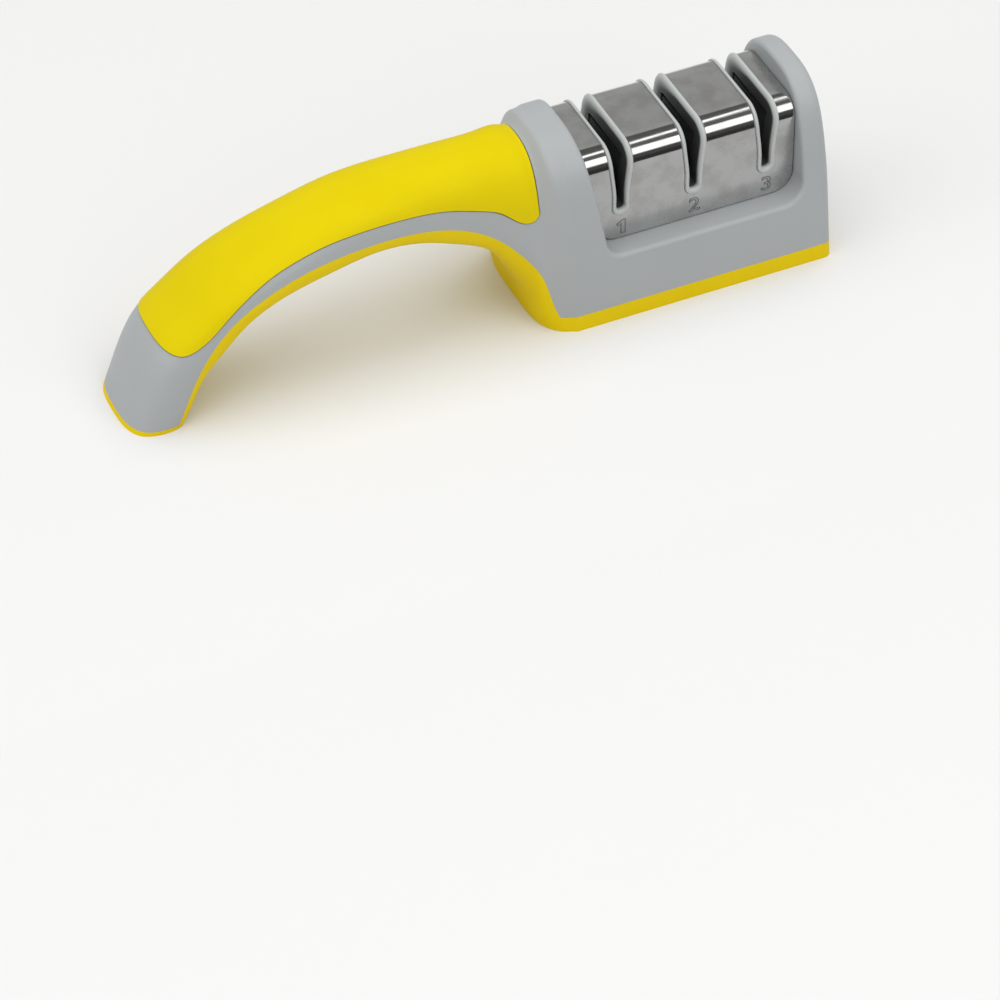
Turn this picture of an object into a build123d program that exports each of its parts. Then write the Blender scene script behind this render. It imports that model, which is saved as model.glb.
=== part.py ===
"""Three stage pull through knife sharpener with a curved handle.

Origin: centre of the head's flat base. +X runs from the handle to the front of the head,
+Z up, and the side with the stage numbers faces -Y. All lengths in millimetres.
"""
from build123d import *
from math import cos, pi, radians, sin, tan
import os

os.makedirs("parts", exist_ok=True)

# Body, outside
head_length = 78.0
head_half_width = 22.5
body_height = 55.3
handle_length = 122.3
front_lean_degrees = 2.4
front_edge_radius = 2.5
body_wall = 2.4
handle_wall = 2.4
overrun = 30.0

# Window that carries the steel cover
ledge_height = 20.8
window_back_setback = 11.8
window_lean_degrees = 8.9
front_wall = 9.0
window_back_radius = 5.0
window_front_radius = 6.0
window_rim_radius = 1.2
platform_thickness = 2.4

# Yellow soft skin, the rigid cover under it and the grip
skin_thickness = 1.8
base_band_height = 4.8
foot_band_height = 1.3
grip_stand = 0.25
grip_groove = 0.35

# Steel cover
steel_half_width = 14.6
steel_top = 49.7
steel_shoulder_radius = 4.5
steel_sheet = 0.6
steel_gap = 0.3

# Slots and their lips
slot_pitch = 21.4
slot_shift = 0.1
slot_throat_half = 1.2
slot_mouth_half = 2.15
slot_bottom = 30.4
slot_taper_start = 38.0
slot_taper_end = 45.6
lip_width_low = 1.3
lip_width_high = 1.65
lip_under_slot = 1.6
lip_stand = 0.5
lip_chamfer = 0.5
lip_gap = 0.05

# Cartridge housings and the dark holders inside them
housing_gap = 0.1
housing_wall = 1.5
holder_half_length = 6.4
holder_half_width = 9.4
holder_top = 44.0
holder_gap = 0.15
holder_slot_gap = 0.25

# Abrasives
stage_angle_degrees = 17.0
stage_apex_height = 35.5
abrasive_end_height = 23.0
abrasive_length = 15.8
abrasive_gap = 0.1
rod_diameter = 5.0
rod_spacing = 5.6
blade_width = 5.2
blade_thickness = 2.0
blade_spacing = 2.6

# Screws
housing_screw_diameter = 2.5
housing_screw_head = 4.4
housing_screw_head_height = 1.6
housing_screw_reach = 6.0
housing_screw_offset = 4.7
cover_screw_diameter = 2.9
cover_screw_head = 5.6
cover_screw_head_height = 1.5
cover_screw_reach = 8.0
cover_screw_boss = 7.0
cover_screw_setback = 10.0
cover_screw_side = 13.5
handle_screw_setback = 50.0
screw_clearance = 0.2
screw_recess = 0.3
recess_gap = 0.4

head_back = -head_length / 2
head_front = head_length / 2
slot_centres = [slot_shift - slot_pitch, slot_shift, slot_shift + slot_pitch]

# Stations along the body from the front of the head to the foot of the handle. Each is one
# D shaped section in the plane through its crest and its underside point.
# The columns are crest x and z, underside x and z, half width, how much the section narrows
# upwards, the exponents of its upper and lower curve, and the level where it is widest.
# x counts from the back of the head towards the tail in handle lengths, z in body heights
# and the half width in head half widths.
station_shares = [
    (-0.012, 1.000, -0.012, -0.181, 0.922, 0.266, 2.9, 9.0, 0.60),
    (0.021, 0.996, 0.005, -0.181, 0.882, 0.260, 2.9, 7.0, 0.57),
    (0.031, 0.978, 0.029, -0.145, 0.846, 0.240, 2.9, 4.6, 0.50),
    (0.043, 0.957, 0.050, -0.108, 0.813, 0.200, 2.6, 2.8, 0.44),
    (0.074, 0.964, 0.062, 0.054, 0.762, 0.160, 2.6, 2.4, 0.42),
    (0.123, 0.965, 0.078, 0.178, 0.690, 0.120, 2.5, 2.4, 0.43),
    (0.172, 0.963, 0.102, 0.284, 0.636, 0.080, 2.5, 2.5, 0.44),
    (0.229, 0.961, 0.143, 0.420, 0.592, 0.040, 2.5, 2.8, 0.45),
    (0.294, 0.957, 0.211, 0.513, 0.564, 0.000, 2.5, 3.2, 0.45),
    (0.368, 0.946, 0.301, 0.601, 0.560, 0.000, 2.5, 3.6, 0.45),
    (0.466, 0.916, 0.407, 0.638, 0.572, 0.000, 2.5, 3.8, 0.45),
    (0.572, 0.847, 0.513, 0.609, 0.594, 0.000, 2.5, 3.8, 0.45),
    (0.679, 0.761, 0.618, 0.560, 0.617, 0.000, 2.5, 3.8, 0.45),
    (0.783, 0.642, 0.715, 0.458, 0.646, 0.000, 2.5, 3.8, 0.45),
    (0.855, 0.524, 0.774, 0.330, 0.660, 0.000, 2.6, 3.8, 0.45),
    (0.914, 0.407, 0.812, 0.232, 0.665, 0.000, 2.7, 3.8, 0.45),
    (0.959, 0.226, 0.840, 0.112, 0.658, 0.000, 2.8, 4.0, 0.45),
    (0.997, 0.009, 0.864, 0.000, 0.642, 0.000, 2.9, 4.0, 0.45),
    (1.006, -0.072, 0.876, -0.072, 0.630, 0.000, 2.9, 4.0, 0.45),
]
section_points = 18

# Line where the grey body meets the yellow skin, from the back of the head to the foot,
# in the same shares of handle length and body height
seam_shares = [
    (0.020, 0.092),
    (0.033, 0.163),
    (0.057, 0.344),
    (0.086, 0.440),
    (0.131, 0.548),
    (0.188, 0.637),
    (0.286, 0.716),
    (0.409, 0.741),
    (0.531, 0.723),
    (0.662, 0.644),
    (0.759, 0.524),
    (0.822, 0.367),
    (0.863, 0.181),
    (0.890, 0.030),
]

# Lower edge of the grip from its front corner to the crest at the tail
grip_edge_shares = [
    (0.053, 0.714),
    (0.059, 0.667),
    (0.079, 0.651),
    (0.131, 0.720),
    (0.180, 0.763),
    (0.237, 0.799),
    (0.294, 0.821),
    (0.360, 0.832),
    (0.433, 0.832),
    (0.531, 0.807),
    (0.589, 0.774),
    (0.662, 0.716),
    (0.728, 0.633),
    (0.769, 0.564),
    (0.805, 0.494),
    (0.838, 0.445),
    (0.867, 0.421),
    (0.890, 0.423),
    (0.908, 0.436),
]
grip_front_crest_share = 0.036
grip_tail_crest_share = 0.960


def side_point(shares):
    """Point of the side view from its shares of the handle length and the body height."""
    along, up = shares
    return (head_back - along * handle_length, 0, up * body_height)


def section(station, inset):
    """Closed D shaped wire of one station, drawn in by the inset all round."""
    crest_x, crest_z, under_x, under_z, half, taper, top_power, low_power, level = station
    crest = Vector(*side_point((crest_x, crest_z)))
    under = Vector(*side_point((under_x, under_z)))
    up = (crest - under).normalized()
    under = under + up * inset
    height = (crest - under).length - inset
    half_width = half * head_half_width - inset
    points = []
    for step in range(section_points):
        angle = 2 * pi * step / section_points - pi / 2
        across, along = cos(angle), sin(angle)
        power = top_power if along >= 0 else low_power
        reach = 1 - level if along >= 0 else level
        rise = height * (level + reach * abs(along) ** (2 / power) * (1 if along >= 0 else -1))
        width = half_width * abs(across) ** (2 / power) * (1 if across >= 0 else -1)
        width = width * (1 + taper * (0.5 - rise / height))
        points.append(under + up * rise + Vector(0, width, 0))
    return Wire([Edge.make_spline(points, periodic=True)])


def cut_front(solid, inset):
    """Trim the front of the head along its leaning plane."""
    lean = radians(front_lean_degrees)
    plane = Plane(
        origin=(head_front - inset, 0, 0),
        x_dir=(0, 1, 0),
        z_dir=(cos(lean), 0, sin(lean)),
    )
    return solid.split(plane, Keep.BOTTOM)


def handle_loft(inset):
    """The neck and the handle, from the straight part of the head to the foot."""
    return Solid.make_loft([section(station, inset) for station in station_shares])


def head_block(handle, inset):
    """The straight part of the head with its leaning front, grown from the handle's end."""
    start = handle.faces().sort_by(Axis.X)[-1]
    head = cut_front(Solid.extrude(start, Vector(head_length + overrun, 0, 0)), inset)
    if inset < front_edge_radius / 2:
        front = head.faces().sort_by(Axis.X)[-1]
        head = head.fillet(front_edge_radius - inset, front.edges())
    return head


def joined(head, handle, inset):
    """Head and handle as one solid, cut flat at the base."""
    return head.fuse(handle).split(Plane.XY.offset(max(inset, 0)), Keep.TOP)


def envelope(inset):
    """The whole outside of the body, drawn in by the inset."""
    handle = handle_loft(inset)
    return joined(head_block(handle, inset), handle, inset)


def extrude_side(face, half_width):
    """Extrude a face of the side view to both sides of the middle plane."""
    moved = face.moved(Location((0, half_width, 0)))
    return Solid.extrude(moved, Vector(0, -2 * half_width, 0))


def shared(first, second):
    """The solid that two solids have in common."""
    return first.intersect(second).solids().sort_by(SortBy.VOLUME)[-1]


def box_between(low, high):
    """Box from its lowest to its highest corner."""
    size = [b - a for a, b in zip(low, high)]
    return Solid.make_box(*size, Plane(origin=low))


def upright(radius, x, y, bottom, top):
    """Upright round bar between two heights."""
    return Solid.make_cylinder(radius, top - bottom, Plane(origin=(x, y, bottom)))


# Window and the shapes that follow it

def window_face(inset):
    """Side view of the window, drawn in by the inset, open past the top."""
    lean = tan(radians(window_lean_degrees))
    top = body_height + overrun
    back = head_back + window_back_setback + inset
    front = head_front - front_wall - inset
    rise = top - ledge_height
    corners = [
        (back, 0, ledge_height),
        (front, 0, ledge_height),
        (front, 0, top),
        (back - rise * lean, 0, top),
    ]
    face = Face(Wire.make_polygon([Vector(*corner) for corner in corners], close=True))
    low = face.vertices().sort_by(Axis.Z)[:2].sort_by(Axis.X)
    face = face.fillet_2d(window_back_radius, [low[0]])
    corner = face.vertices().sort_by(Axis.X)[-2:].sort_by(Axis.Z)[0]
    return face.fillet_2d(window_front_radius - inset, [corner])


def saddle(half_width, top, shoulder_radius, x_from, x_to):
    """Solid of the cover's cross section between two places along the head."""
    corners = [
        (x_from, -half_width, ledge_height),
        (x_from, half_width, ledge_height),
        (x_from, half_width, top),
        (x_from, -half_width, top),
    ]
    face = Face(Wire.make_polygon([Vector(*corner) for corner in corners], close=True))
    high = face.vertices().sort_by(Axis.Z)[2:]
    face = face.fillet_2d(shoulder_radius, high)
    return Solid.extrude(face, Vector(x_to - x_from, 0, 0))


def slot_face(x, low_half, high_half, bottom, top):
    """Side view of a slot: a round bottomed throat that widens to its mouth."""
    springing = bottom + low_half
    left_foot = (x - low_half, 0, springing)
    right_foot = (x + low_half, 0, springing)
    left_start = (x - low_half, 0, slot_taper_start)
    right_start = (x + low_half, 0, slot_taper_start)
    left_end = (x - high_half, 0, slot_taper_end)
    right_end = (x + high_half, 0, slot_taper_end)
    left_top = (x - high_half, 0, top)
    right_top = (x + high_half, 0, top)
    right_middle = (x + (low_half + high_half) / 2, 0, (slot_taper_start + slot_taper_end) / 2)
    left_middle = (x - (low_half + high_half) / 2, 0, right_middle[2])
    up, down = (0, 0, 1), (0, 0, -1)
    edges = [
        Edge.make_three_point_arc(left_foot, (x, 0, bottom), right_foot),
        Edge.make_line(right_foot, right_start),
        Edge.make_tangent_arc(right_start, up, right_middle),
        Edge.make_tangent_arc(right_end, down, right_middle),
        Edge.make_line(right_end, right_top),
        Edge.make_line(right_top, left_top),
        Edge.make_line(left_top, left_end),
        Edge.make_tangent_arc(left_end, down, left_middle),
        Edge.make_tangent_arc(left_start, up, left_middle),
        Edge.make_line(left_start, left_foot),
    ]
    return Face(Wire.combine(edges)[0])


# Body shell, grip, skin and cover from the one envelope

def under_region():
    """Everything below the seam between the grey body and the yellow underside."""
    front = head_front + overrun
    tail = side_point((1, 0))[0] - overrun
    seam = [side_point(shares) for shares in seam_shares]
    seam_front = (seam[0][0], 0, base_band_height)
    seam_tail = (seam[-1][0], 0, foot_band_height)
    edges = [
        Edge.make_line((front, 0, base_band_height), seam_front),
        Edge.make_spline([seam_front] + seam[1:-1] + [seam_tail]),
        Edge.make_line(seam_tail, (tail, 0, foot_band_height)),
        Edge.make_line((tail, 0, foot_band_height), (tail, 0, -overrun)),
        Edge.make_line((tail, 0, -overrun), (front, 0, -overrun)),
        Edge.make_line((front, 0, -overrun), (front, 0, base_band_height)),
    ]
    return extrude_side(Face(Wire.combine(edges)[0]), head_half_width + overrun)


def moved_out(points, distance):
    """Points of a side view line, each moved square to the line between its neighbours."""
    moved = []
    for index, point in enumerate(points):
        before = Vector(*points[max(index - 1, 0)])
        after = Vector(*points[min(index + 1, len(points) - 1)])
        along = (after - before).normalized()
        moved.append(Vector(*point) + Vector(along.Z, 0, -along.X) * -distance)
    return moved


def grip_region(margin):
    """The part of the handle that the grip covers, widened by the margin."""
    top = body_height + overrun
    edge = moved_out([side_point(shares) for shares in grip_edge_shares], margin)
    tail_crest = (side_point((grip_tail_crest_share, 0))[0] - margin, 0, top)
    front_crest = (side_point((grip_front_crest_share, 0))[0] + margin, 0, top)
    edges = [
        Edge.make_spline(edge),
        Edge.make_line(edge[-1], tail_crest),
        Edge.make_line(tail_crest, front_crest),
        Edge.make_line(front_crest, edge[0]),
    ]
    return extrude_side(Face(Wire.combine(edges)[0]), head_half_width + overrun)


def handle_space(inset):
    """Room inside the handle, drawn in from its outside by the inset."""
    tail = side_point((1, 0))[0] - overrun
    behind = box_between(
        (tail, -head_half_width, 0),
        (head_back - handle_wall, head_half_width, body_height),
    )
    return shared(envelope(inset), behind)


def head_space():
    """Room inside the lower head and inside the front wall."""
    space = envelope(body_wall)
    platform_under = ledge_height - platform_thickness
    room = box_between(
        (head_back + body_wall, -head_half_width, 0),
        (head_front, head_half_width, platform_under),
    )
    column = box_between(
        (head_front - front_wall + body_wall, -head_half_width, platform_under - body_wall),
        (head_front, head_half_width, body_height),
    )
    return [shared(space, room), shared(space, column)]


def cover_screw_places():
    """Middles of the four screws in the underside of the head."""
    reach = head_length / 2 - cover_screw_setback
    return [(x, y) for x in (-reach, reach) for y in (-cover_screw_side, cover_screw_side)]


def handle_screw_x():
    """Place of the one screw under the arch of the handle."""
    return head_back - handle_screw_setback


def handle_screw_level():
    """Height of the underside of the handle above its screw."""
    return side_point((0, max(station[3] for station in station_shares)))[2]


def body_shell(inner, under, space):
    """Grey body: hollow head and handle, the window for the cover, the recess of the grip."""
    handle = handle_loft(0)
    window = extrude_side(window_face(0), head_half_width + overrun)
    head = head_block(handle, 0).cut(window)
    head = head.fillet(window_rim_radius, [e for e in head.edges() if on_window_rim(e)])
    body = joined(head, handle, 0).cut(grip_region(grip_groove).cut(inner))
    body = body.cut(under).cut(*head_space()).cut(space)
    platform_under = ledge_height - platform_thickness
    for x, y in cover_screw_places():
        body = body.fuse(upright(cover_screw_boss / 2, x, y, base_band_height, platform_under))
    roof = inner.bounding_box().max.Z
    post = upright(cover_screw_boss / 2, handle_screw_x(), 0, handle_screw_level(), roof)
    body = body.fuse(shared(post, inner).cut(under))
    for x, y in cover_screw_places():
        body = body.cut(cover_screw_bar(x, y, base_band_height, screw_clearance))
    body = body.cut(cover_screw_bar(handle_screw_x(), 0, handle_screw_seat(), screw_clearance))
    for x, y in housing_screw_places():
        body = body.cut(upright(housing_screw_diameter / 2 + screw_clearance, x, y,
                                platform_under - body_wall, ledge_height + body_wall))
    return body


def on_window_rim(edge):
    """Whether an edge lies where the window meets the outside of the body."""
    middle = edge.center()
    across = edge.geom_type == GeomType.LINE
    front = head_front - front_wall + window_rim_radius
    return ledge_height <= middle.Z + window_rim_radius and not across \
        and head_back + body_wall < middle.X < front


def cover_screw_bar(x, y, foot, gap):
    """Shank of a cover screw from the face that its head sits on."""
    return upright(cover_screw_diameter / 2 + gap, x, y, foot, foot + cover_screw_reach + gap)


def handle_screw_seat():
    """Height of the face under the head of the handle screw."""
    return handle_screw_level() + skin_thickness + cover_screw_head_height


def underside_pieces(outer, inner, under, space):
    """Yellow soft skin and the rigid cover that it is moulded over."""
    skin = shared(outer, under).cut(inner)
    cover = shared(inner, under).cut(space)
    hole = cover_screw_head / 2 + recess_gap
    seats = [(x, y, skin_thickness + cover_screw_head_height + screw_recess, 0)
             for x, y in cover_screw_places()]
    seats.append((handle_screw_x(), 0, handle_screw_seat(), ledge_height))
    for x, y, seat, below in seats:
        access = upright(hole, x, y, below, seat)
        shank = upright(cover_screw_diameter / 2 + screw_clearance, x, y, below,
                        seat + body_height)
        skin = skin.cut(access)
        cover = cover.cut(access).cut(shank)
    return skin, cover


def cover_screws():
    """Screws that hold the underside cover to the head, as separate solids."""
    seat = skin_thickness + cover_screw_head_height + screw_recess
    return [cover_screw(x, y, seat) for x, y in cover_screw_places()]


def cover_screw(x, y, seat):
    """One screw of the underside cover, its head against the seat."""
    return screw(x, y, seat, cover_screw_diameter, cover_screw_head,
                 cover_screw_head_height, cover_screw_reach)


def screw(x, y, seat, diameter, head, head_height, reach):
    """Pan head screw that points up, its head under the seat."""
    shank = upright(diameter / 2, x, y, seat, seat + reach)
    cap = upright(head / 2, x, y, seat - head_height, seat)
    return shank.fuse(cap)


# Steel cover, housings, holders and abrasives

def lip_halves(gap):
    """Half widths of a lip's outside at the throat and at the mouth of a slot."""
    return slot_throat_half + lip_width_low + gap, slot_mouth_half + lip_width_high + gap


def slot_bar(x, low_half, high_half, bottom):
    """Slot shape carried right across the head."""
    face = slot_face(x, low_half, high_half, bottom, body_height + overrun)
    return extrude_side(face, head_half_width + overrun)


def steel_cover():
    """Folded sheet over the housings, cut out round each slot."""
    outside = saddle(steel_half_width, steel_top, steel_shoulder_radius, head_back, head_front)
    inside = saddle(
        steel_half_width - steel_sheet,
        steel_top - steel_sheet,
        steel_shoulder_radius - steel_sheet,
        head_back,
        head_front,
    )
    window = extrude_side(window_face(steel_gap), head_half_width)
    cover = shared(outside.cut(inside), window)
    low, high = lip_halves(lip_gap)
    for x in slot_centres:
        cover = cover.cut(slot_bar(x, low, high, slot_bottom - lip_under_slot - lip_gap))
    return cover


def housing_span(x):
    """Ends along the head of the housing at one slot."""
    half = (slot_pitch - housing_gap) / 2
    low = head_back if x == min(slot_centres) else x - half
    high = head_front if x == max(slot_centres) else x + half
    return low, high


def housing(x):
    """Light grey cartridge housing: one slot with its lips and a pocket for the holder."""
    low_x, high_x = housing_span(x)
    fit = steel_sheet + lip_gap
    core = saddle(
        steel_half_width - fit, steel_top - fit, steel_shoulder_radius - fit, low_x, high_x
    )
    window = extrude_side(window_face(steel_gap), head_half_width)
    core = shared(core, window)
    proud = saddle(
        steel_half_width + lip_stand,
        steel_top + lip_stand,
        steel_shoulder_radius + lip_stand,
        low_x,
        high_x,
    )
    low, high = lip_halves(0)
    lips = shared(proud, slot_bar(x, low, high, slot_bottom - lip_under_slot))
    body = core.fuse(lips)
    body = body.cut(slot_bar(x, slot_throat_half, slot_mouth_half, slot_bottom))
    body = body.chamfer(lip_chamfer, None, [e for e in body.edges() if on_lip_edge(e, x)])
    body = body.cut(holder_block(x, holder_gap))
    for screw_x, screw_y in housing_screw_places():
        body = body.cut(upright(housing_screw_diameter / 2, screw_x, screw_y, ledge_height,
                                ledge_height + housing_screw_reach + screw_clearance))
    return body


def on_lip_edge(edge, x):
    """Whether an edge is an inner edge of the lips of the slot at x."""
    middle = edge.center()
    reach = abs(middle.X - x)
    outside = abs(middle.Y) > steel_half_width or middle.Z > steel_top \
        or (abs(middle.Y) > steel_half_width - steel_shoulder_radius
            and middle.Z > steel_top - steel_shoulder_radius)
    return outside and reach < slot_mouth_half + lip_gap


def holder_block(x, gap):
    """Outside of the holder under one slot, grown by the gap."""
    block = box_between(
        (x - holder_half_length - gap, -holder_half_width - gap, ledge_height),
        (x + holder_half_length + gap, holder_half_width + gap, holder_top + gap),
    )
    trim = extrude_side(window_face(steel_gap + housing_wall - gap), head_half_width)
    return shared(block, trim)


def holder(x, tools):
    """Dark holder: carries the two crossed abrasives under the slot."""
    block = holder_block(x, 0)
    block = block.cut(slot_bar(
        x,
        slot_throat_half + holder_slot_gap,
        slot_mouth_half + holder_slot_gap,
        slot_bottom - holder_slot_gap,
    ))
    return block.cut(*tools)


def leaning(solid_maker, x, side):
    """Place an upright abrasive so that it leans to one side and crosses its twin."""
    angle = radians(stage_angle_degrees)
    half = (blade_width if solid_maker in (blade, blade_pocket) else rod_diameter) / 2
    crossing = stage_apex_height - half / sin(angle)
    drop = crossing - abrasive_end_height
    foot_x = x - side * drop * tan(angle)
    piece = solid_maker(side)
    turn = Location((foot_x, 0, abrasive_end_height), (0, side * stage_angle_degrees, 0))
    return piece.moved(turn)


def rod(side, gap=0):
    """Round abrasive rod standing on its foot, beside its twin."""
    foot = (0, side * rod_spacing / 2, -gap)
    return Solid.make_cylinder(rod_diameter / 2 + gap, abrasive_length + 2 * gap,
                               Plane(origin=foot))


def rod_pocket(side):
    """Bore for a rod, open at its foot."""
    return rod(side, abrasive_gap)


def blade(side, gap=0):
    """Flat carbide blade standing on its foot, beside its twin."""
    middle = side * blade_spacing / 2
    return box_between(
        (-blade_width / 2 - gap, middle - blade_thickness / 2 - gap, -gap),
        (blade_width / 2 + gap, middle + blade_thickness / 2 + gap, abrasive_length + gap),
    )


def blade_pocket(side):
    """Slit for a blade, open at its foot."""
    return blade(side, abrasive_gap)


def housing_screw_places():
    """Middles of the screws that hold the housings down, one pair to a housing."""
    side = holder_half_width + (steel_half_width - holder_half_width) / 2
    places = []
    for x in slot_centres:
        inward = -1 if x > slot_shift else 1
        for y in (-side, side):
            places.append((x + inward * housing_screw_offset, y))
    return places


def housing_screws():
    """Screws up through the platform into the housings, as separate solids."""
    seat = ledge_height - platform_thickness
    return [screw(x, y, seat, housing_screw_diameter, housing_screw_head,
                  housing_screw_head_height, platform_thickness + housing_screw_reach)
            for x, y in housing_screw_places()]


def write(name, solids):
    """Write one node, from one solid or from a group of separate solids."""
    pieces = solids if isinstance(solids, list) else [solids]
    shape = pieces[0] if len(pieces) == 1 else Compound(children=pieces)
    export_step(shape, f"parts/{name}.step")
    print(name, [round(piece.volume) for piece in pieces])


def main():
    outer = envelope(0)
    inner = envelope(skin_thickness)
    under = under_region()
    space = handle_space(skin_thickness + handle_wall)
    write("body_shell", body_shell(inner, under, space))
    proud = shared(envelope(-grip_stand), grip_region(0))
    write("handle_grip", proud.cut(inner))
    skin, cover = underside_pieces(outer, inner, under, space)
    write("underside_skin", skin)
    write("underside_cover", cover)
    write("cover_screws", cover_screws())
    write("handle_screw", cover_screw(handle_screw_x(), 0, handle_screw_seat()))
    write("steel_cover", steel_cover())
    write("housing_screws", housing_screws())
    stages = [
        ("carbide", blade, blade_pocket, "blade"),
        ("diamond", rod, rod_pocket, "rod"),
        ("ceramic", rod, rod_pocket, "rod"),
    ]
    for x, (stage, piece, pocket, kind) in zip(slot_centres, stages):
        write(f"{stage}_housing", housing(x))
        pockets = [leaning(pocket, x, side) for side in (-1, 1)]
        write(f"{stage}_holder", holder(x, pockets))
        for name, side in (("left", -1), ("right", 1)):
            write(f"{stage}_{kind}_{name}", leaning(piece, x, side))


main()
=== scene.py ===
"""Looks of the three stage pull through knife sharpener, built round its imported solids.

Metres, in the part's own frame: the origin is under the middle of the head, +X runs from the
handle to the front of the head, +Z is up and the side with the stage numbers faces -Y.
"""
import math

import bmesh
import bpy
import numpy as np
from mathutils import Matrix


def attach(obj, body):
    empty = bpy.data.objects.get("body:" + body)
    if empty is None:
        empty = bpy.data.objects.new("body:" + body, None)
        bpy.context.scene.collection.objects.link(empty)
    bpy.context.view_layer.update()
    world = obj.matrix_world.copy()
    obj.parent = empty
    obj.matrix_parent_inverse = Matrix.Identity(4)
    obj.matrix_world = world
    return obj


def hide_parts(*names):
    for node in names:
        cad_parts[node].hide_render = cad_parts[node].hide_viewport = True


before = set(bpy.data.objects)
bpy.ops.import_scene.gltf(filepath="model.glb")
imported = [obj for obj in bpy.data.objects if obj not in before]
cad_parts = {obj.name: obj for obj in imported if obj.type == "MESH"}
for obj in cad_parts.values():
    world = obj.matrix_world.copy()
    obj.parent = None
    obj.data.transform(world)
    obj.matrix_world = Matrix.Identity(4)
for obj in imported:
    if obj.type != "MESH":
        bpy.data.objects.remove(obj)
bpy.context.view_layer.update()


# Grey body
# One hollow injection moulding in grey ABS with a fine satin finish. It carries the window for
# the steel cover and the recess that the grip is moulded into. Its solid keeps its own shape.

class Term:
    """A shader socket that takes part in plain arithmetic, each sum becoming a Math node."""

    def __init__(self, graph, socket):
        self.graph = graph
        self.socket = socket

    def sum_with(self, operation, other):
        settings = {"operation": operation}
        return self.graph.node("ShaderNodeMath", settings, {0: self, 1: other})["Value"]

    def __add__(self, other):
        return self.sum_with("ADD", other)

    def __mul__(self, other):
        return self.sum_with("MULTIPLY", other)

    def __abs__(self):
        return self.sum_with("ABSOLUTE", 0.0)


class Outputs:
    """The output sockets of a node, read by name."""

    def __init__(self, graph, node):
        self.graph = graph
        self.node = node

    def __getitem__(self, name):
        return Term(self.graph, self.node.outputs[name])


class Graph:
    """A new material with one Principled shader and a single method that adds other nodes."""

    def __init__(self, name, **constants):
        self.material = bpy.data.materials.new(name)
        self.material.use_nodes = True
        self.tree = self.material.node_tree
        self.shader = self.tree.nodes["Principled BSDF"]
        for key, value in constants.items():
            self.set_input(self.shader.inputs[key.replace("_", " ")], value)

    def set_input(self, socket, value):
        if isinstance(value, Term):
            self.tree.links.new(value.socket, socket)
        elif isinstance(value, tuple) and len(value) == 3 and socket.type == "RGBA":
            socket.default_value = (*value, 1)
        else:
            socket.default_value = value

    def node(self, kind, settings, inputs):
        made = self.tree.nodes.new(kind)
        for key, value in settings.items():
            setattr(made, key, value)
        for key, value in inputs.items():
            self.set_input(made.inputs[key], value)
        return Outputs(self, made)

    def place(self):
        """Object coordinates in metres."""
        return self.node("ShaderNodeTexCoord", {}, {})["Object"]

    def stretched(self, place, scale):
        """A place stretched by a scale along each axis."""
        return self.node("ShaderNodeMapping", {}, {"Vector": place, "Scale": scale})["Vector"]

    def noise(self, place, size, detail=2.0):
        """Smooth noise from 0 to 1 with bumps about one size across."""
        inputs = {"Vector": place, "Scale": 1 / size, "Detail": detail}
        return self.node("ShaderNodeTexNoise", {}, inputs)["Fac"]

    def between(self, share, low, high):
        """Colour between two colours by a share from 0 to 1."""
        settings = {"data_type": "RGBA"}
        inputs = {0: share, 6: low, 7: high}
        return Term(self, self.node("ShaderNodeMix", settings, inputs).node.outputs[2])

    def ramp(self, value, low, high):
        """Share from 0 to 1 as a value goes from low to high, with smooth ends."""
        settings = {"interpolation_type": "SMOOTHSTEP"}
        inputs = {"Value": value, "From Min": low, "From Max": high}
        return self.node("ShaderNodeMapRange", settings, inputs)["Result"]

    def bump(self, height, depth, strength=1.0):
        """Sends a height from 0 to 1 to the shader as a bump of that depth in metres."""
        inputs = {"Height": height, "Distance": depth, "Strength": strength}
        normal = self.node("ShaderNodeBump", {}, inputs)["Normal"]
        self.set_input(self.shader.inputs["Normal"], normal)

    def colour(self, term):
        self.set_input(self.shader.inputs["Base Color"], term)

    def roughness(self, term):
        self.set_input(self.shader.inputs["Roughness"], term)


def moulded_plastic(name, pale, deep, roughness, grain):
    """Moulded plastic: a slow drift between two near colours and a fine satin grain."""
    graph = Graph(name, Specular_IOR_Level=0.45)
    place = graph.place()
    drift = graph.noise(place, 0.03)
    fine = graph.noise(place, grain, 3)
    graph.colour(graph.between(graph.ramp(drift, 0.3, 0.7), deep, pale))
    graph.roughness(fine * 0.12 + (roughness - 0.06))
    graph.bump(fine, grain * 0.1, 0.25)
    return graph.material


def dress(piece, material):
    """Give a piece its material."""
    piece.data.materials.clear()
    piece.data.materials.append(material)
    return piece


body_plastic = moulded_plastic(
    "grey_body_plastic", (0.372, 0.391, 0.397), (0.360, 0.379, 0.386), 0.42, 0.00035)
dress(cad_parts["body_shell"], body_plastic)


# Grip and underside skin
# Two soft overmouldings in the same bright yellow rubber. The grip stands slightly proud of a
# groove round its edge, and the skin wraps the underside, the base band and the foot.

def soft_rubber(name, lit, deep):
    """Matt rubber with a faint tooth, a little richer in colour where the noise is low."""
    graph = Graph(name, Specular_IOR_Level=0.07)
    place = graph.place()
    drift = graph.noise(place, 0.02)
    tooth = graph.noise(place, 0.00025, 3)
    graph.colour(graph.between(graph.ramp(drift, 0.25, 0.75), deep, lit))
    graph.roughness(tooth * 0.16 + 0.44)
    graph.bump(tooth, 0.00003, 0.3)
    return graph.material


grip_rubber = soft_rubber("yellow_grip_rubber", (0.665, 0.530, 0.002), (0.645, 0.510, 0.001))
skin_rubber = soft_rubber("yellow_skin_rubber", (0.755, 0.560, 0.001), (0.735, 0.540, 0.001))
dress(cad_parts["handle_grip"], grip_rubber)
dress(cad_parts["underside_skin"], skin_rubber)


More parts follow.
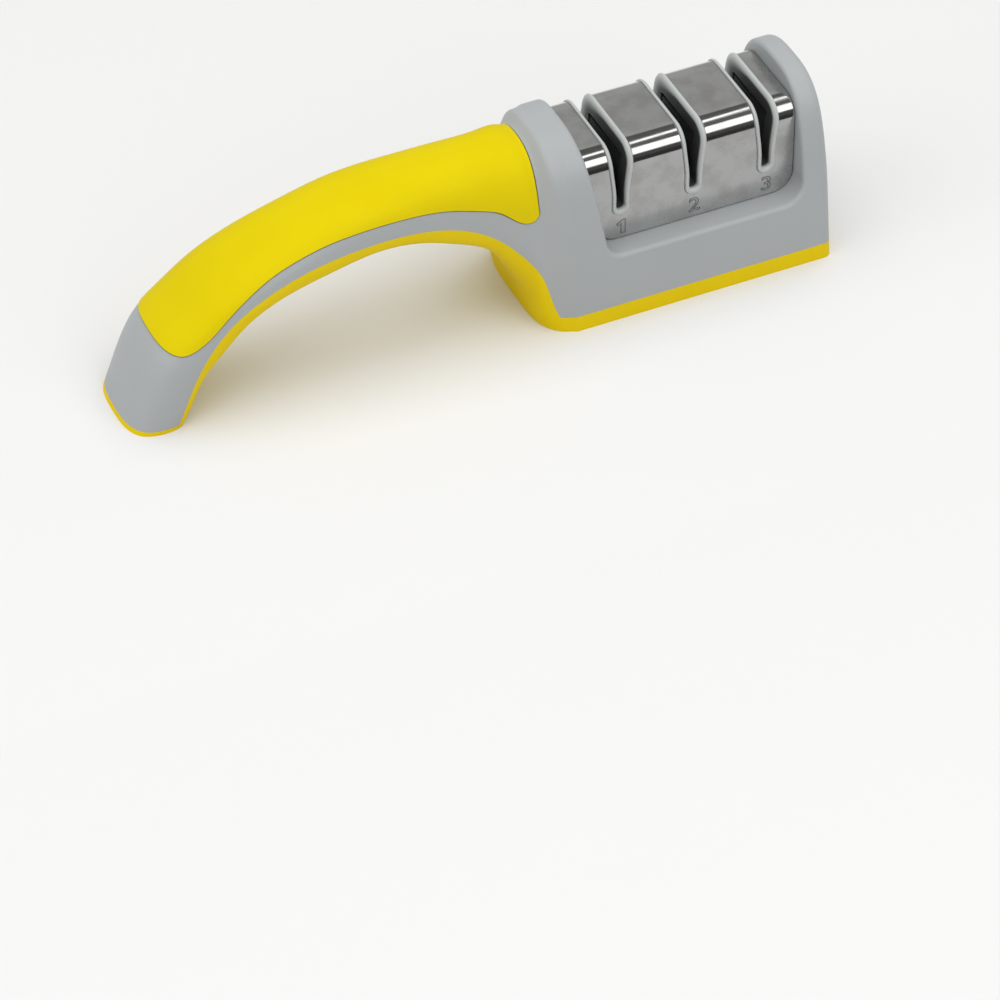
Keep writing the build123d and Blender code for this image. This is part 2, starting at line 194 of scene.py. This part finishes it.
# Underside cover
# The rigid dark inner moulding that the yellow skin is bonded to. Only the seats of its screws
# show from below.

cover_plastic = moulded_plastic(
    "dark_cover_plastic", (0.050, 0.050, 0.054), (0.042, 0.042, 0.046), 0.50, 0.0004)
dress(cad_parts["underside_cover"], cover_plastic)


# Screws
# Plated pan head screws driven up from below: four in the base, one under the handle and six
# small ones inside. Each head has a domed rim and a cross recess.

merge_distance = 0.000004


def grid_faces(rows, columns, close_rows, close_columns):
    """Quads of a grid of points given row by row, wrapped round where a direction closes."""
    across = np.arange(rows if close_rows else rows - 1)
    along = np.arange(columns if close_columns else columns - 1)
    i, j = np.meshgrid(across, along, indexing="ij")
    next_i, next_j = (i + 1) % rows, (j + 1) % columns
    corners = [i * columns + j, next_i * columns + j, next_i * columns + next_j,
               i * columns + next_j]
    return np.stack(corners, axis=-1).reshape(-1, 4)


def piece_from(name, points, faces, sharp_degrees=35, places=None, depth=None):
    """A smooth shaded object at the origin from its points and faces, doubles merged.

    places are the flat places of the points, kept as the layout named sheet, and depth says how
    deep each point lies, kept as the attribute named depth.
    """
    mesh = bpy.data.meshes.new(name)
    mesh.from_pydata(np.asarray(points).reshape(-1, 3).tolist(), [], [list(f) for f in faces])
    if places is not None:
        layer = mesh.uv_layers.new(name="sheet")
        corners = np.empty(len(mesh.loops), int)
        mesh.loops.foreach_get("vertex_index", corners)
        layer.data.foreach_set("uv", places[corners].astype(np.float32).ravel())
    if depth is not None:
        kept = mesh.attributes.new("depth", "FLOAT", "POINT")
        kept.data.foreach_set("value", depth.astype(np.float32).ravel())
    shape = bmesh.new()
    shape.from_mesh(mesh)
    bmesh.ops.remove_doubles(shape, verts=shape.verts, dist=merge_distance)
    shape.to_mesh(mesh)
    shape.free()
    piece = bpy.data.objects.new(name, mesh)
    bpy.context.scene.collection.objects.link(piece)
    shade_smooth(mesh, sharp_degrees)
    return piece


def shade_smooth(mesh, sharp_degrees):
    """Smooth shading with edges sharper than the angle kept crisp."""
    mesh.polygons.foreach_set("use_smooth", np.ones(len(mesh.polygons), bool))
    mesh.set_sharp_from_angle(angle=math.radians(sharp_degrees))
    mesh.update()


def screw_points(radius, head_radius, head_height, reach):
    """Points of a screw turned about +Z, its head below its seat at height zero.

    Each row is a ring of one radius and height: the flat middle of the head, its domed rim,
    the seat and the shank. Where a ring is inside the cross, the height rises by the recess
    depth, which fades with the distance to the nearer arm's edge.
    """
    turns = np.linspace(0, 2 * np.pi, 48, endpoint=False)
    flat_rings, flat_share, rim_share, tip_share = 14, 0.72, 0.55, 0.4
    arm_width, arm_slope, arm_reach, arm_end, recess_share = 0.17, 0.06, 0.62, 0.1, 0.6
    inner = np.linspace(0, head_radius * flat_share, flat_rings)
    bend = np.linspace(0, np.pi / 2, 6)[1:]
    rim = head_radius * (flat_share + (1 - flat_share) * np.sin(bend))
    rim_level = -head_height * (rim_share + (1 - rim_share) * np.cos(bend))
    rings = np.concatenate([inner, rim, [head_radius, radius, radius, radius * tip_share, 0]])
    levels = np.concatenate([np.full(flat_rings, -head_height), rim_level,
                             [0, 0, reach - radius, reach, reach]])
    x = rings[:, None] * np.cos(turns)
    y = rings[:, None] * np.sin(turns)
    near, far = np.minimum(abs(x), abs(y)), np.maximum(abs(x), abs(y))
    inside = np.clip((arm_width - near / head_radius) / arm_slope, 0, 1)
    inside = inside * np.clip((arm_reach - far / head_radius) / arm_end, 0, 1)
    low = np.arange(len(rings))[:, None] < flat_rings
    z = levels[:, None] + np.where(low, inside * head_height * recess_share, 0)
    return np.stack([x, y, z], axis=-1)


def screws_at(name, places, sizes, node):
    """All screws of one node as one piece of separate closed shells."""
    shape = screw_points(*sizes)
    faces = grid_faces(shape.shape[0], shape.shape[1], False, True)[:, ::-1]
    count = shape.shape[0] * shape.shape[1]
    points = [shape.reshape(-1, 3) + place for place in places]
    turned = [faces + index * count for index in range(len(places))]
    piece = piece_from(name, np.concatenate(points), np.concatenate(turned))
    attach(piece, "root")
    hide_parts(node)
    return piece


plated = Graph("plated_screw_steel", Metallic=1.0, Base_Color=(0.56, 0.56, 0.57))
plated.roughness(plated.noise(plated.place(), 0.0006) * 0.15 + 0.22)
base_screw_seat, housing_screw_seat = 0.0036, 0.0184
base_screw_spots = [(x, y, base_screw_seat) for x in (-0.029, 0.029) for y in (-0.0135, 0.0135)]
handle_screw_spot = [(-0.089, 0, 0.0386)]
housing_screw_spots = [(x, y, housing_screw_seat) for x in (-0.0166, 0.0048, 0.0168)
                       for y in (-0.0120, 0.0120)]
base_screw_sizes = (0.00145, 0.0028, 0.0015, 0.008)
housing_screw_sizes = (0.00125, 0.0022, 0.0016, 0.0084)
for name, spots, sizes, node in (
        ("base_screws", base_screw_spots, base_screw_sizes, "cover_screws"),
        ("handle_screw_head", handle_screw_spot, base_screw_sizes, "handle_screw"),
        ("inner_screws", housing_screw_spots, housing_screw_sizes, "housing_screws")):
    dress(screws_at(name, spots, sizes, node), plated.material)


# Steel cover
# One sheet of stainless steel, blanked with three long holes and folded over the housings. The
# folds are the round shoulders. It keeps the mill's fine grain, with faint smears from handling.

ledge = 0.0208
sheet_side = 0.0146
sheet_top = 0.0497
shoulder = 0.0056
sheet_thickness = 0.0006
seat_gap = 0.0003
back_gap = 0.00004
hole_gap = 0.00005
slot_middles = [-0.0213, 0.0001, 0.0215]
throat_half, mouth_half = 0.0013, 0.00215
slot_low, taper_low, taper_high = 0.0304, 0.0350, 0.0468
band_low, band_high, band_under = 0.0012, 0.00135, 0.0016
window_back, window_front, window_lean = -0.0272, 0.0300, math.radians(8.9)
back_radius, front_radius = 0.0050, 0.0060


def path_length(level):
    """Distance along the fold from the middle of the top to a level on the side."""
    flat = sheet_side - shoulder
    side_start = flat + shoulder * np.pi / 2
    return side_start + (sheet_top - shoulder) - level


def fold(along, stand):
    """Points and heights of the folded section, a stand above the sheet's outside.

    along runs from the -Y side to the +Y side and is zero in the middle of the top: flat top,
    a quarter circle round each shoulder, then straight down. Returns y and z.
    """
    flat = sheet_side - shoulder
    far = abs(along)
    angle = np.clip((far - flat) / shoulder, 0, np.pi / 2)
    drop = np.maximum(far - flat - shoulder * np.pi / 2, 0)
    y = np.minimum(far, flat) + (shoulder + stand) * np.sin(angle)
    z = sheet_top - shoulder + (shoulder + stand) * np.cos(angle) - drop
    return y * np.sign(along), z


def half_gap(level, low_half, high_half, bottom):
    """Half width of a slot outline at a level: round foot, straight throat, eased taper."""
    share = np.clip((level - taper_low) / (taper_high - taper_low), 0, 1)
    wide = low_half + (high_half - low_half) * share * share * (3 - 2 * share)
    foot = np.clip((level - bottom) / low_half, 0, 1)
    return wide * np.sqrt(np.clip(foot * (2 - foot), 0, 1))


def side_levels():
    """Levels up one side of the sheet, close together where the outline turns."""
    feet = slot_low - band_under - hole_gap
    reach = throat_half + band_low + hole_gap
    corner = ledge + seat_gap + front_radius * (1 - np.cos(np.linspace(0, np.pi / 2, 12)))
    under = np.linspace(corner[-1], feet, 5)[1:]
    round_foot = feet + reach * (1 - np.cos(np.linspace(0, np.pi / 2, 14)))[1:]
    above = np.linspace(round_foot[-1], sheet_top - shoulder, 26)[1:]
    return np.concatenate([corner, under, round_foot, above])


def sheet_alongs():
    """Places along the fold from one lower edge to the other."""
    sides = path_length(side_levels())
    bend = np.linspace(sides[-1], sheet_side - shoulder, 14)[1:]
    top = np.linspace(sheet_side - shoulder, 0, 9)[1:]
    half = np.concatenate([sides, bend, top])
    return np.concatenate([-half, half[-2::-1]])


def window_edge(level, side):
    """X of the sheet's back or front edge at a level, with its rounded lower corner."""
    foot = ledge + seat_gap
    radius = back_radius if side < 0 else front_radius
    share = np.clip((level - foot) / radius, 0, 1)
    inward = radius * (1 - np.sqrt(np.clip(share * (2 - share), 0, 1)))
    if side < 0:
        return window_back + back_gap - (level - ledge) * math.tan(window_lean) + inward
    return window_front - seat_gap - inward


def steel_sheet():
    """The sheet as four strips that share the line under each slot.

    Each strip is a grid: rows follow the fold, columns go from the edge of one hole to the edge
    of the next, with columns closer together near both edges.
    """
    along = sheet_alongs()
    y, z = fold(along, 0)
    low, high = throat_half + band_low + hole_gap, mouth_half + band_high + hole_gap
    gap = half_gap(z, low, high, slot_low - band_under - hole_gap)
    lefts = [window_edge(z, -1)] + [middle + gap for middle in slot_middles]
    rights = [middle - gap for middle in slot_middles] + [window_edge(z, 1)]
    spread = (1 - np.cos(np.linspace(0, np.pi, 13))) / 2
    points, faces, places = [], [], []
    for left, right in zip(lefts, rights):
        x = left[:, None] + (right - left)[:, None] * spread
        strip = np.stack([x, np.broadcast_to(y[:, None], x.shape),
                          np.broadcast_to(z[:, None], x.shape)], axis=-1)
        faces.append(grid_faces(*x.shape, False, False) + sum(len(p) for p in points))
        points.append(strip.reshape(-1, 3))
        places.append(np.stack([x, np.broadcast_to(along[:, None], x.shape)], -1).reshape(-1, 2))
    return np.concatenate(points), np.concatenate(faces), np.concatenate(places)


def sheet_steel(name):
    """Rolled steel: grain along the fold, cloudy smears and a shine where the bend drew it."""
    graph = Graph(name, Metallic=1.0)
    flat = graph.node("ShaderNodeUVMap", {"uv_map": "sheet"}, {})["UV"]
    far = abs(graph.node("ShaderNodeSeparateXYZ", {}, {"Vector": flat})["Y"])
    bend_start = sheet_side - shoulder
    bend_end = bend_start + shoulder * math.pi / 2
    fade_above, fade_start, fade_below = 0.0015, 0.0005, 0.0025
    dull = (graph.ramp(far, bend_start, bend_start - fade_above)
            + graph.ramp(far, bend_end - fade_start, bend_end + fade_below))
    grain_size, streak_size, cloud_size = 0.00012, 0.0012, 0.007
    grain = graph.noise(graph.stretched(flat, (1, 0.03, 1)), grain_size, 3)
    streak = graph.noise(graph.stretched(flat, (1, 0.06, 1)), streak_size, 2)
    cloud = graph.noise(flat, cloud_size, 5)
    smear = graph.ramp(cloud, 0.40, 0.68)
    tone = graph.between(smear, (0.640, 0.640, 0.635), (0.560, 0.553, 0.537))
    graph.colour(tone)
    graph.roughness(grain * 0.04 + streak * 0.03 + smear * 0.05 + dull * 0.16 + 0.06)
    graph.bump(grain, 0.000002, 0.3)
    return graph.material


sheet_points, sheet_quads, sheet_places = steel_sheet()
steel_cover = piece_from(
    "steel_cover_sheet", sheet_points, sheet_quads[:, ::-1], places=sheet_places)
wall = steel_cover.modifiers.new("thickness", "SOLIDIFY")
wall.thickness = sheet_thickness
wall.offset = -1
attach(steel_cover, "root")
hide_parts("steel_cover")
dress(steel_cover, sheet_steel("stainless_sheet"))


# Stage numbers
# The stage numbers 1, 2 and 3 under the slots, pressed into the sheet so that each shows as a
# thin raised outline, its steel darkened as painted shade along the pressed edge.

number_height = 0.0043
number_line = 0.00013
number_level = 0.0247
number_shift = 0.0004
number_spread = 1.18
# The outline's steel is darker than the sheet: painted shade along the pressed edge.
number_steel_painted_shade = Graph("pressed_number_painted_shade", Metallic=1.0, Base_Color=(0.30, 0.30, 0.30),
                     Roughness=0.35)
capital_share = 0.7
one_corners = np.array([(-0.30, 0.24), (0.04, 0.5), (0.20, 0.5), (0.20, -0.5), (-0.04, -0.5),
                        (-0.04, 0.22), (-0.20, 0.10)])


def number_outline(digit):
    """Bevelled outline of a number: the 1 from its own corners, the others from the font."""
    if digit == "1":
        letter = bpy.data.curves.new("stage_number_1", "CURVE")
        loop = letter.splines.new("POLY")
        loop.points.add(len(one_corners) - 1)
        loop.use_cyclic_u = True
        corners = np.zeros((len(one_corners), 4))
        corners[:, :2] = one_corners * number_height
        loop.points.foreach_set("co", corners.ravel())
    else:
        letter = bpy.data.curves.new("stage_number_" + digit, "FONT")
        letter.body = digit
        letter.align_x = "CENTER"
        letter.align_y = "CENTER"
        letter.size = number_height / capital_share
    letter.fill_mode = "NONE"
    letter.bevel_depth = number_line
    letter.bevel_resolution = 2
    return letter


for digit, middle in zip("123", slot_middles):
    shape = bpy.data.objects.new("digit_shape", number_outline(digit))
    bpy.context.scene.collection.objects.link(shape)
    bpy.context.view_layer.update()
    scene_now = bpy.context.evaluated_depsgraph_get()
    outline = bpy.data.meshes.new_from_object(shape.evaluated_get(scene_now))
    bpy.data.objects.remove(shape)
    upright = Matrix.Rotation(math.pi / 2, 4, "X")
    spot = Matrix.Translation((middle + number_shift, -sheet_side, number_level))
    outline.transform(spot @ upright @ Matrix.Diagonal((number_spread, 1, 1, 1)))
    number = bpy.data.objects.new("stage_number_" + digit, outline)
    bpy.context.scene.collection.objects.link(number)
    shade_smooth(outline, 60)
    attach(number, "root")
    dress(number, number_steel_painted_shade.material)


# Housings
# Light grey moulded liners, one to a slot. Each shows as a soft lip that stands proud of the
# sheet all round its slot and turns in as the walls of the slot, with painted shade that darkens
# the walls deeper in the slot.

lip_stand = 0.0005
liner_wall = 0.0012
inner_round, inner_round_more = 0.45, 0.3
inner_drop, inner_drop_more = 0.0007, 0.0011
outer_round, outer_drop = 0.25, 0.00045
tuck_outside, tuck_behind = 0.0009, 0.0010
wall_reach, wall_reach_more, wall_blend = shoulder - 0.0010, 0.0003, 0.0008


def lip_path():
    """Half widths and places along the fold of one lip's inner and outer edge, as a loop.

    The loop goes over the sharpener on one side of the slot and back on the other: round the
    foot of the outline on -Y, up and over to +Y, round that foot, and back over.
    """
    inner_foot = slot_low + throat_half
    outer_foot = slot_low - band_under + throat_half + band_low
    levels = np.concatenate([np.linspace(inner_foot, taper_low, 8)[:-1],
                             np.linspace(taper_low, sheet_top - shoulder, 22)])
    sides = path_length(levels)
    bend = np.linspace(sides[-1], sheet_side - shoulder, 16)[1:]
    top = np.linspace(sheet_side - shoulder, 0, 10)[1:]
    half = np.concatenate([sides, bend, top])
    over = np.concatenate([-half, half[-2::-1]])
    level = fold(over, 0)[1]
    inner = half_gap(level, throat_half, mouth_half, slot_low)
    outer = half_gap(level, throat_half + band_low, mouth_half + band_high,
                     slot_low - band_under)
    turn = np.linspace(0, np.pi, 26)[1:-1]
    foot_inner = np.stack([throat_half * np.cos(turn),
                           path_length(inner_foot - throat_half * np.sin(turn))], -1)
    reach = throat_half + band_low
    foot_outer = np.stack([reach * np.cos(turn),
                           path_length(outer_foot - reach * np.sin(turn))], -1)
    flip = np.array([-1, 1])
    mirror = np.array([1, -1])
    inner_loop = np.concatenate([
        np.stack([inner, over], -1), foot_inner,
        (np.stack([inner, over], -1) * flip)[::-1], (foot_inner * mirror * flip)])
    outer_loop = np.concatenate([
        np.stack([outer, over], -1), foot_outer,
        (np.stack([outer, over], -1) * flip)[::-1], (foot_outer * mirror * flip)])
    return inner_loop, outer_loop


def liner(middle):
    """Closed tube round one slot, with how deep each point lies in the slot.

    Its section goes from the slot's wall up round the inner edge, over the crown and round the
    outer edge into the gap beside the sheet, then back under the lip and down behind the wall.
    The inner edge is rounder and softer near the top, and the walls reach in to the holder.
    """
    inner, outer = lip_path()
    level = fold(inner[:, 1], 0)[1]
    high = np.clip((level - taper_low) / (taper_high - taper_low), 0, 1)[:, None]
    bend = np.linspace(0, np.pi / 2, 9)
    inner_share = (inner_round + inner_round_more * high) * (1 - np.cos(bend))
    inner_up = lip_stand - (inner_drop + inner_drop_more * high) * (1 - np.sin(bend))
    outer_share = 1 - outer_round * (1 - np.cos(bend))[::-1] + 0 * high
    outer_up = lip_stand - outer_drop * (1 - np.sin(bend))[::-1] + 0 * high
    share = np.concatenate([inner_share, outer_share], axis=1)
    up = np.concatenate([inner_up, outer_up], axis=1)
    across = inner[:, :1] + (outer - inner)[:, :1] * share
    along = inner[:, 1:] + (outer - inner)[:, 1:] * share
    side_far = sheet_side - shoulder + shoulder * np.pi / 2
    on_side = np.clip((abs(inner[:, 1:]) - side_far) / wall_blend, 0, 1)
    depth = -(wall_reach + wall_reach_more * on_side)
    outward = (outer - inner) / np.linalg.norm(outer - inner, axis=1)[:, None]
    back = inner + outward * liner_wall
    skirt = [(outer, -tuck_outside), (back, -tuck_behind), (back, depth), (inner, depth),
             (inner, depth * 0.75), (inner, depth * 0.5), (inner, depth * 0.35)]
    across = np.concatenate([across] + [edge[:, :1] for edge, low in skirt], axis=1)
    along = np.concatenate([along] + [edge[:, 1:] for edge, low in skirt], axis=1)
    up = np.concatenate([up] + [low + 0 * high for edge, low in skirt], axis=1)
    y, z = fold(along, 0)
    y_up, z_up = fold(along, lip_stand)
    steps = up / lip_stand
    return np.stack([middle + across, y + (y_up - y) * steps, z + (z_up - z) * steps], -1), -up


def liner_plastic_with_painted_shade(name, lip, wall):
    """The lip's light plastic with painted shade: dark below its crown, at once in front and
    slowly at the back.
    """
    graph = Graph(name, Specular_IOR_Level=0.4)
    place = graph.place()
    depth = graph.node("ShaderNodeAttribute", {"attribute_name": "depth"}, {})["Fac"]
    fine = graph.noise(place, 0.0004, 3)
    y = graph.node("ShaderNodeSeparateXYZ", {}, {"Vector": place})["Y"]
    back = graph.ramp(y, 0, 0.012)
    # Painted shade: the slot walls fade from the lip colour to near black with depth, more
    # slowly towards the back.
    inside = graph.ramp(depth + fine * 0.0002, 0.0004, back * 0.0028 + 0.0014)
    graph.colour(graph.between(inside, lip, wall))
    graph.roughness(fine * 0.12 + 0.40)
    graph.bump(fine, 0.00003, 0.25)
    return graph.material


# The dark second colour is painted shade on the slot walls, not a darker plastic.
housing_plastic_with_painted_shade = liner_plastic_with_painted_shade(
    "light_housing_plastic_painted_shade", (0.455, 0.475, 0.472), (0.050, 0.050, 0.050))
for stage, middle in zip(("carbide", "diamond", "ceramic"), slot_middles):
    shape, deep = liner(middle)
    quads = grid_faces(*shape.shape[:2], True, True)[:, ::-1]
    piece = piece_from(stage + "_liner", shape, quads, 50, depth=deep)
    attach(piece, "root")
    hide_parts(stage + "_housing")
    dress(piece, housing_plastic_with_painted_shade)


# Holders and abrasives
# Inside each slot a dark moulded holder carries a crossed pair: ground carbide blades, then
# coarse diamond coated rods, then fine white ceramic rods.

holder_plastic = moulded_plastic(
    "dark_holder_plastic", (0.032, 0.032, 0.034), (0.028, 0.028, 0.030), 0.55, 0.0004)
for stage in ("carbide", "diamond", "ceramic"):
    dress(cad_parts[stage + "_holder"], holder_plastic)

carbide = Graph("ground_carbide", Metallic=1.0, Base_Color=(0.20, 0.20, 0.21))
ground = carbide.noise(carbide.stretched(carbide.place(), (0.05, 1, 1)), 0.0001)
carbide.roughness(ground * 0.15 + 0.25)
carbide.bump(ground, 0.000003, 0.5)

diamond = Graph("diamond_grit", Metallic=0.9, Base_Color=(0.30, 0.30, 0.32))
grit = diamond.node("ShaderNodeTexVoronoi", {}, {"Vector": diamond.place(), "Scale": 7000})
diamond.roughness(grit["Distance"] * 0.3 + 0.35)
diamond.bump(grit["Distance"], 0.00004, 0.8)

ceramic = Graph("fine_ceramic", Specular_IOR_Level=0.4)
fired = ceramic.noise(ceramic.place(), 0.0002, 3)
ceramic.colour(ceramic.between(fired, (0.74, 0.73, 0.69), (0.80, 0.79, 0.75)))
ceramic.roughness(fired * 0.15 + 0.5)
ceramic.bump(fired, 0.000006, 0.5)

for kind, graph, slot in (("carbide_blade", carbide, "carbide"),
                          ("diamond_rod", diamond, "diamond_rod"),
                          ("ceramic_rod", ceramic, "ceramic")):
    for side in ("_left", "_right"):
        dress(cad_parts[kind + side], graph.material)


# Studio
# A plain pale floor under a soft box in front, a narrow strip light above it, and broad lights
# at the handle's side and overhead. Boards that only the steel reflects give its folds the dark
# and light bands of a product table.

part_middle = np.array((-0.03, 0, 0.02))


def flat_board(name, width, height, place, facing):
    """A rectangle facing along a direction, made flat and then stood in its place."""
    corners = [(-width / 2, -height / 2, 0), (width / 2, -height / 2, 0),
               (width / 2, height / 2, 0), (-width / 2, height / 2, 0)]
    mesh = bpy.data.meshes.new(name)
    mesh.from_pydata(corners, [], [(0, 1, 2, 3)])
    board = bpy.data.objects.new(name, mesh)
    board.matrix_world = standing(place, facing)
    bpy.context.scene.collection.objects.link(board)
    return board


def standing(place, facing):
    """Matrix of something at a place whose +Z faces along a direction."""
    back = np.array(facing, float) / np.linalg.norm(facing)
    side = np.cross((0, 1, 0) if abs(back[2]) > 0.99 else (0, 0, 1), back)
    side /= np.linalg.norm(side)
    axes = np.stack([side, np.cross(back, side), back], axis=1)
    matrix = Matrix([(*axes[row], place[row]) for row in range(3)] + [(0, 0, 0, 1)])
    return matrix


def soft_light(name, width, height, place, power, in_reflections=True):
    """An area light that faces the middle of the sharpener."""
    lamp = bpy.data.lights.new(name, "AREA")
    lamp.shape = "RECTANGLE"
    lamp.size = width
    lamp.size_y = height
    lamp.energy = power
    light = bpy.data.objects.new(name, lamp)
    light.matrix_world = standing(place, np.array(place) - part_middle)
    light.visible_glossy = in_reflections
    bpy.context.scene.collection.objects.link(light)
    return light


def reflected_board(name, width, height, place, level, lies_flat=False):
    """A board that shows only in the steel, at an even level from 0 black to 1 white."""
    facing = (0, 0, 1) if lies_flat else part_middle - np.array(place)
    board = flat_board(name, width, height, place, facing)
    paint = Graph(name, Base_Color=(0, 0, 0), Specular_IOR_Level=0, Emission_Strength=level,
                  Emission_Color=(1, 1, 1))
    board.data.materials.append(paint.material)
    board.visible_camera = False
    board.visible_diffuse = False
    board.visible_shadow = False
    board.visible_transmission = False


def around(distance, elevation, azimuth=0.0):
    """Place at a distance from the sharpener, seen towards the front at azimuth zero."""
    e, a = math.radians(elevation), math.radians(azimuth)
    flat = distance * math.cos(e)
    return (flat * math.sin(a), -flat * math.cos(a), distance * math.sin(e))


floor = flat_board("floor", 8, 8, (0, 0, 0), (0, 0, 1))
floor_paint = Graph("pale_floor", Base_Color=(0.73, 0.73, 0.73), Roughness=0.9,
                    Specular_IOR_Level=0.1)
floor.data.materials.append(floor_paint.material)

reflected_board("table_edge", 3, 0.08, (0, -0.062, 0.001), 0.60, lies_flat=True)
reflected_board("room_floor", 3, 1.1, (0, -0.653, 0.001), 0.04, lies_flat=True)
reflected_board("room_wall", 4, 0.54, around(1.25, 7), 0.08)
reflected_board("gap_card", 3, 0.57, around(1.3, 64.5), 0.14)
reflected_board("high_card", 3, 1.04, around(1.3, 73, 180), 0.12)

soft_light("front_light", 0.90, 0.66, around(1.2, 36.5, 15), 2.4)
soft_light("strip_light", 1.6, 0.10, (0.35, -0.20, 1.15), 0.85)
soft_light("side_light", 1.2, 1.2, around(1.3, 35, -85), 4.6, in_reflections=False)
soft_light("top_light", 2.0, 2.0, (0.1, -0.08, 1.6), 22, in_reflections=False)

world = bpy.data.worlds.new("studio")
world.use_nodes = True
bpy.context.scene.world = world
sky = world.node_tree.nodes["Background"]
sky.inputs["Color"].default_value = (0.44, 0.44, 0.43, 1)
sky.inputs["Strength"].default_value = 1.0


# Camera
# At the angle and distance from which the upper of the two views was taken, fitted to it.

camera_data = bpy.data.cameras.new("camera")
camera_data.lens = 165.858
camera_data.sensor_width = 36
camera_data.clip_start = 0.05
camera_data.clip_end = 50
camera = bpy.data.objects.new("camera", camera_data)
camera_right = (0.909924, -0.414725, -0.006501)
camera_up = (0.282783, 0.608819, 0.741197)
camera_back = (-0.303435, -0.676271, 0.671256)
camera_place = (-0.440708, -0.869961, 0.789655)
rows = zip(camera_right, camera_up, camera_back, camera_place)
camera.matrix_world = Matrix([*rows, (0, 0, 0, 1)])
bpy.context.scene.collection.objects.link(camera)
bpy.context.scene.camera = camera
bpy.context.scene.view_settings.view_transform = "Standard"
